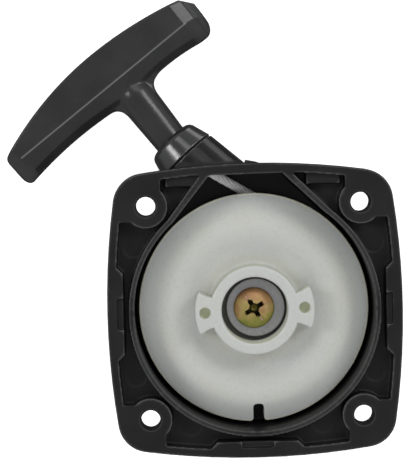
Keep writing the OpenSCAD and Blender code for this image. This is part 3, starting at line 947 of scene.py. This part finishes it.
def make_screw():
    """Pan head with a cross recess and a shallow slot, on a plain shank."""
    seat, top, head_r = WASHER_HIGH.z, SCREW_HIGH.z, SCREW_HIGH.x
    dome = [(head_r * math.cos(a), seat + SKIRT_H + (top - seat - SKIRT_H) * math.sin(a))
            for a in np.radians(np.linspace(0, 88, 16))]
    profile = [(0.02, SCREW_LOW.z), (SHANK_R - 0.5, SCREW_LOW.z), (SHANK_R, SCREW_LOW.z + 0.5),
               (SHANK_R, seat), (head_r - 0.3, seat), (head_r, seat + 0.3)]
    base = loose_object("screw_base", *lathe(profile + dome + [(0.02, top)], 120))
    recess = top - RECESS_L
    cutters = []
    for turn, half in ((30, 3.7), (120, 3.2)):
        arm = prism([(-half, -0.72), (half, -0.72), (half, 0.72), (-half, 0.72)], recess, top + 0.4)
        cutters.append(taper(arm, recess, 0.55, turn))
    slot = prism([(-5.7, -0.3), (5.7, -0.3), (5.7, 0.3), (-5.7, 0.3)], top - SLOT_L, top + 1)
    cutters.append(taper(slot, top - SLOT_L, 1.0, -56))
    verts, faces = lathe([(0.001, recess - 0.3), (0.8, recess), (1.75, top + 0.3), (0.001, top + 0.3)], 32)
    cutters.append(loose_object("well", verts, faces))
    boolean(base, cutters, "DIFFERENCE")
    edge = base.modifiers.new("edge", "BEVEL")
    edge.width = 0.14 * MM
    edge.segments = 2
    edge.angle_limit = math.radians(35)
    mesh = baked(base)
    clean(mesh, 2e-6)
    finish_piece("screw_yellow", mesh, "yellow_zinc", "root", "pulley_screw", smooth=35)


def taper(cutter, floor, share, turn):
    """Narrows a cutter to share of its size at floor height, and turns it about Z."""
    for v in cutter.data.vertices:
        k = share if abs(v.co.z - floor * MM) < 1e-6 else 1
        v.co.x, v.co.y = turned([(v.co.x * k, v.co.y)], turn)[0]
    return cutter


def make_insert():
    """Threaded insert in the post: two knurled bands with a plain neck between them."""
    low, high, radius = INSERT_LOW.z, INSERT_HIGH.z, INSERT_HIGH.x
    bore, neck = 2.95, radius - 0.4
    profile = rounded([(bore, low), (radius - 0.3, low), (radius, low + 0.4), (radius, low + 4.4),
                       (neck, low + 4.7), (neck, low + 5.8), (radius, low + 6.1),
                       (radius, high - 0.1), (radius - 0.2, high), (bore, high)], 0.06)
    verts, faces = lathe(profile, 144)
    # Two of every four columns of the knurled bands sink by this share of the radius
    hollow_share = 0.965
    knurled = []
    for i, (x, y, z) in enumerate(verts):
        hollow = math.hypot(x, y) > (radius - 0.1) * MM and (i // len(profile)) % 4 < 2
        cut = hollow_share if hollow else 1
        knurled.append((x * cut, y * cut, z))
    new_piece("insert_brass", knurled, faces, "brass_insert", "root", "post_insert")


# ---------------------------------------------------------------- moulded black parts
def make_housing():
    """The housing's solid with soft edges, which are marked as worn and painted with a highlight."""
    mesh = soft_remesh(cad_copy("housing"), 0.27, 2, 0.35)
    mark_edges(mesh, 0.7)
    finish_piece("housing_case", mesh, "black_nylon", "root", "housing", smooth=60)


def make_guide():
    """The rope guide's solid with soft edges, which are marked as worn and painted with a highlight."""
    mesh = soft_remesh(cad_copy("rope_guide"), 0.2, 3, 0.6)
    mark_edges(mesh, 0.6)
    finish_piece("guide_bush", mesh, "guide_plastic", "root", "rope_guide", smooth=60)


# ---------------------------------------------------------------- handle
# The bar in the handle's own directions: u along its short arm, v out along the pull, w towards +Z
STEM_L = 19.1
STEM_R, STEM_GROW = 5.2, 0.034
ARM_LONG, ARM_SHORT = 42.78, 31.2
BAR_H, BAR_HALF = 17.4, 6.5
CROWN_U = -2.0
# The flat faces end at these two places. The short end has a groove further out
LONG_FACET_U, SHORT_FACET_U, CAP_GROOVE_U = -38.6, 24.8, 28.6
# The ridge between flat face and lower facet: its height at u = 0, its slope, and where its painted highlight
# line ends
RIDGE_V, RIDGE_SLOPE, RIDGE_END_U = 6.7, 0.012, 25.5
BORE_R, POCKET_R, CAP_SEAT_R = 1.8, 4.3, 5.02
POCKET_L, CAP_L = 9.5, 2


def crown_v(u):
    """Height of the crown: two parabolas that meet at CROWN_U."""
    return BAR_H - (0.0051 if u < CROWN_U else 0.0039) * (u - CROWN_U) ** 2


def under_v(u):
    """Height of the underside: one hollow under each arm."""
    return 0.35 - 0.0042 * (u + 19) ** 2 if u < 0 else max(-0.3, 0.75 - 0.0079 * (u - 14) ** 2)


def round_off(room, reach):
    """0 at least reach away from an end, rising to 1 at the end along a quarter circle."""
    t = max(0.0, 1 - room / reach)
    return 1 - math.sqrt(1 - t * t)


def half_width(u, v):
    """Half thickness of the bar: flat faces, a facet at each end, and a second one past the groove."""
    long_end = LONG_FACET_U - 0.24 * (v - 6.4)
    if u < long_end:
        return BAR_HALF - 0.85 * (long_end - u)
    if u < SHORT_FACET_U:
        return BAR_HALF
    if u < CAP_GROOVE_U:
        return BAR_HALF - 0.44 * (u - SHORT_FACET_U)
    return BAR_HALF - 1.67 - 0.8 * (u - CAP_GROOVE_U)


def bar_ring(u):
    """Closed section of the bar at u, as (v, w): underside, soft crest, ridge, flat face, crown and back."""
    room = min(u + ARM_LONG, ARM_SHORT - u)
    if u < 0:
        top = crown_v(u) - 1.3 * round_off(room, 1.3)
        low = under_v(u) + 4.2 * round_off(room, 2.5)
    else:
        top = crown_v(u) - 2.9 * max(0.0, 1 - room / 3.2)
        low = under_v(u) + 4.6 * round_off(room, 3.2)
    ridge = RIDGE_V + RIDGE_SLOPE * u - 0.06 * max(0.0, u - 26) ** 2
    crest, soft = low + 2.3, 0.45
    side = [(low, 0.0), (low, 1.4), (low + 0.35, 2.2), (crest - 0.35, 3.95), (crest, 4.3),
            (crest + 0.35, 4.48), (ridge, BAR_HALF), ((ridge + top) / 2, BAR_HALF),
            (top - soft, BAR_HALF), (top, BAR_HALF - soft), (top, 0.0)]
    side = [(v, w * half_width(u, v) / BAR_HALF) for v, w in side]
    if abs(u - CAP_GROOVE_U) < 0.2:
        side = [(v, max(0.0, w - 0.45)) for v, w in side]
    return side + [(v, -w) for v, w in side[-2:0:-1]]


def bar_mesh():
    """The bar as a loft of sections, in the handle's directions, in mm."""
    ends = [0.0, 0.15, 0.4, 0.8, 1.3, 1.9, 2.4, 2.51, 2.69, 2.8, 3.3, 4.0, 5.2, 6.5]
    stations = [-ARM_LONG + e for e in ends]
    stations += list(np.linspace(-ARM_LONG + 7.2, ARM_SHORT - 7.2, 50))
    stations += [ARM_SHORT - e for e in ends[::-1]]
    rings = [bar_ring(u) for u in stations]
    size = len(rings[0])
    verts = [(u, v, w) for u, ring in zip(stations, rings) for v, w in ring]
    last = (len(stations) - 1) * size
    faces = [(i + k, i + (k + 1) % size, i + size + (k + 1) % size, i + size + k)
             for i in range(0, last, size) for k in range(size)]
    faces += [tuple(range(size)), tuple(last + k for k in range(size))]
    return verts, faces


def fillet_web():
    """Flat web that curves from the stem into the underside of the bar on both sides, as (u, v) points."""
    radius, top_r = 3.6, STEM_R + STEM_GROW * STEM_L
    right = [(top_r + radius - radius * math.cos(a), STEM_L - radius + 0.3 + radius * math.sin(a))
             for a in np.radians(np.linspace(0, 90, 9))]
    left = [(-top_r - radius + radius * math.cos(a), STEM_L - radius + radius * math.sin(a))
            for a in np.radians(np.linspace(90, 0, 9))]
    return [(-top_r - radius, STEM_L + 2)] + left + right + [(top_r + radius, STEM_L + 2)]


def handle_point(u, v, w):
    """Local directions of the handle: X down, -Y along the short arm, Z out."""
    return (-w, -u, v)


def relax_points(mesh, co, weight, passes):
    """Moves each point towards the middle of its neighbours, as far as its weight says, again and again."""
    a, b, near = edge_ends(mesh)
    for _ in range(passes):
        for axis in range(3):
            line = co[:, axis]
            line += 0.6 * weight * (neighbour_mean(line, a, b, near) - line)


def bar_coords(co):
    """The points' u, v and w, which handle_point turned into rows of local coordinates."""
    return -co[:, 1], co[:, 2], -co[:, 0]


def true_up_handle(mesh):
    """Smooths the neck, and puts the points on the stem's cone and the bar's flat faces exactly there.

    It also marks the ridge line of the bar in the edge attribute: a painted highlight line, partly a worn
    edge.
    """
    co = point_rows(mesh, "co") / MM
    u, v, _ = bar_coords(co)
    neck = np.clip(1 - np.abs(v - STEM_L + 0.6) / 3.6, 0, 1) * np.clip((12 - np.abs(u)) / 3, 0, 1)
    relax_points(mesh, co, np.sqrt(neck), 40)
    u, v, w = bar_coords(co)
    radius = np.hypot(u, w)
    cone = STEM_R + STEM_GROW * v
    on_stem = (v > 1.0) & (v < STEM_L - 4) & (np.abs(radius - cone) < 0.12)
    share = np.where(on_stem, cone / np.maximum(radius, 1.0), 1.0)
    co[:, :2] *= share[:, None]
    flat = (np.abs(np.abs(w) - BAR_HALF) < 0.06) & (v > STEM_L + 4)
    co[flat, 0] = np.sign(co[flat, 0]) * BAR_HALF
    mesh.vertices.foreach_set("co", (co * MM).ravel())
    # Painted highlight: a thin pale line along the ridge, wider above it than below.
    above = v - STEM_L - (RIDGE_V + RIDGE_SLOPE * u)
    width = np.where(above < 0, 0.24, 0.36)
    worn_and_highlit = np.exp(-(above / width) ** 2) * (np.abs(w) > BAR_HALF - 0.4)
    worn_and_highlit *= (u > LONG_FACET_U) & (u < RIDGE_END_U)
    store_edge(mesh, worn_and_highlit)
    mesh.update()


def make_handle():
    """Bar, stem and web joined, softened as one moulding, with the rope bore and the cap's pocket."""
    on_handle = along(STEM_AT, HANDLE_A)
    verts, faces = bar_mesh()
    bar = loose_object("bar", [Vector(handle_point(u, v + STEM_L, w)) * MM for u, v, w in verts], faces)
    stem_profile = rounded([(0.02, 0), (STEM_R, 0, 0.7), (STEM_R + STEM_GROW * STEM_L, STEM_L),
                            (4.6, STEM_L + 4), (0.02, STEM_L + 4)], 0.1)
    stem = loose_object("stem", *lathe(stem_profile, 96))
    web = prism(fillet_web(), -2.6, 2.6)
    for v in web.data.vertices:
        v.co = Vector(handle_point(*v.co))
    boolean(bar, [stem, web], "UNION")
    pocket = STEM_L + BAR_H
    holes = [loose_object("hole", *lathe([(0.01, low), (radius, low), (radius, high), (0.01, high)], 64))
             for radius, low, high in ((BORE_R, -2, pocket - 8),
                                       (POCKET_R, pocket - POCKET_L, pocket - 1.5),
                                       (CAP_SEAT_R, pocket - CAP_L, pocket + 3))]
    boolean(bar, holes, "DIFFERENCE")
    mesh = soft_remesh(bar, 0.2, 3, 0.4)
    true_up_handle(mesh)
    mesh.transform(on_handle)
    finish_piece("grip_tee", mesh, "handle_plastic", "handle", "handle_grip", smooth=60)
    mesh = soft_remesh(cad_copy("handle_cap"), 0.12, 3, 0.5)
    finish_piece("grip_cap", mesh, "handle_plastic", "handle", "handle_cap", smooth=50)


def dress_spring():
    """The recoil spring stays as the solid it is, and takes its own material."""
    mesh = frame["nodes"]["recoil_spring"].data
    if not mesh.materials:
        mesh.materials.append(None)
    mesh.materials[0] = MATERIALS["spring_steel"]


make_camera()
make_materials()
make_stage()
make_housing()
make_guide()
make_pulley()
make_washer()
make_screw()
make_insert()
make_rope_run()
make_rope_coil()
make_rope_end()
in_barrel = Matrix.Rotation(math.radians(-150), 4, "Z")
in_barrel = in_barrel @ Matrix.Translation(Vector((17.4, 0, ROPE_Z - 0.4)) * MM)
make_knot("reel_knot_rope", "reel_knot", in_barrel, 2.3, "pulley")
in_handle = along(frame_far_point("rope_end"), HANDLE_A)
make_knot("handle_knot_rope", "handle_knot", in_handle, 2.9, "rope_tip")
make_handle()
dress_spring()
